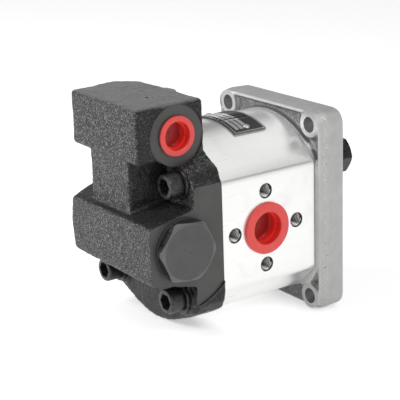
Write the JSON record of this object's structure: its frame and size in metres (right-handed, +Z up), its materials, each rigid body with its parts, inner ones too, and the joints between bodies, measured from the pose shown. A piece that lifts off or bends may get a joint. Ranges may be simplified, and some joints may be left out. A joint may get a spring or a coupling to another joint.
{
  "type": "hydraulic gear pump",
  "caption": "External gear pump with a taper shaft, square-cornered mounting flange, side suction port and a cast rear cover that holds a priority valve and delivery port.",
  "frame": {"origin": "on the drive shaft's axis, in the plane of the flange's mounting face", "axes": "+Z up, +Y along the shaft towards the drive end, +X towards the suction port"},
  "size_m": [0.0919, 0.1612, 0.1267],
  "materials": {
    "die_cast_alloy": "blasted light grey",
    "body_alloy": "bright extruded",
    "black_casting": "black paint on a sand casting",
    "black_steel": "black oxide",
    "gear_steel": "ground",
    "spring_steel": "drawn wire",
    "bright_pin": "bright",
    "bearing_bronze": "bronze sleeve",
    "bearing_alloy": "machined",
    "black_rubber": "moulded nitrile rubber",
    "red_plastic": "moulded polyethylene",
    "plate_foil": "printed foil"
  },
  "bodies": {
    "housing": {"balance_seal_front": "black_rubber", "balance_seal_rear": "black_rubber", "bearing_block_front": "bearing_alloy", "bearing_block_rear": "bearing_alloy", "body_seal_front": "black_rubber", "body_seal_rear": "black_rubber", "bush_drive_front": "bearing_bronze", "bush_drive_rear": "bearing_bronze", "bush_driven_front": "bearing_bronze", "bush_driven_rear": "bearing_bronze", "cap_screw_lower_left": "black_steel", "cap_screw_lower_right": "black_steel", "cap_screw_upper_left": "black_steel", "cap_screw_upper_right": "black_steel", "dowel_front_left": "gear_steel", "dowel_front_right": "gear_steel", "dowel_rear_left": "gear_steel", "dowel_rear_right": "gear_steel", "front_flange": "die_cast_alloy", "name_plate": "plate_foil", "plate_pin_left": "bright_pin", "plate_pin_right": "bright_pin", "pump_body": "body_alloy", "rear_cover": "black_casting", "screw_washer_lower_left": "black_steel", "screw_washer_lower_right": "black_steel", "screw_washer_upper_left": "black_steel", "screw_washer_upper_right": "black_steel", "shaft_seal": "black_rubber", "snap_ring": "black_steel", "spool_spring": "spring_steel", "valve_plug": "black_steel", "valve_plug_ring": "black_rubber"},
    "drive_train": {"drive_gear": "gear_steel", "drive_key": "gear_steel", "drive_washer": "black_steel", "drive_nut": "black_steel"},
    "driven_train": {"driven_gear": "gear_steel"},
    "spool": {"priority_spool": "gear_steel"},
    "suction_cap": {"suction_plug": "red_plastic"},
    "delivery_cap": {"delivery_plug": "red_plastic"}
  },
  "joints": [
    {"name": "drive_spin", "type": "hinge", "parent": "housing", "child": "drive_train", "pos_m": [0, 0, 0], "axis": [0, 1, 0], "continuous": true},
    {"name": "driven_spin", "type": "hinge", "parent": "housing", "child": "driven_train", "pos_m": [0, 0, -0.0312], "axis": [0, 1, 0], "continuous": true},
    {"name": "spool_shift", "type": "slide", "parent": "housing", "child": "spool", "axis": [1, 0, 0], "range_m": [-0.007, 0], "stiffness_N_per_m": 4000, "springref_m": 0.004, "deforming": ["spool_spring"]},
    {"name": "suction_plug_pull", "type": "slide", "parent": "housing", "child": "suction_cap", "axis": [1, 0, 0], "range_m": [0, 0.02]},
    {"name": "delivery_plug_pull", "type": "slide", "parent": "housing", "child": "delivery_cap", "axis": [1, 0, 0], "range_m": [0, 0.02]}
  ],
  "couplings": [
    {"joint": "driven_spin", "follows": "drive_spin", "ratio": -1}
  ]
}
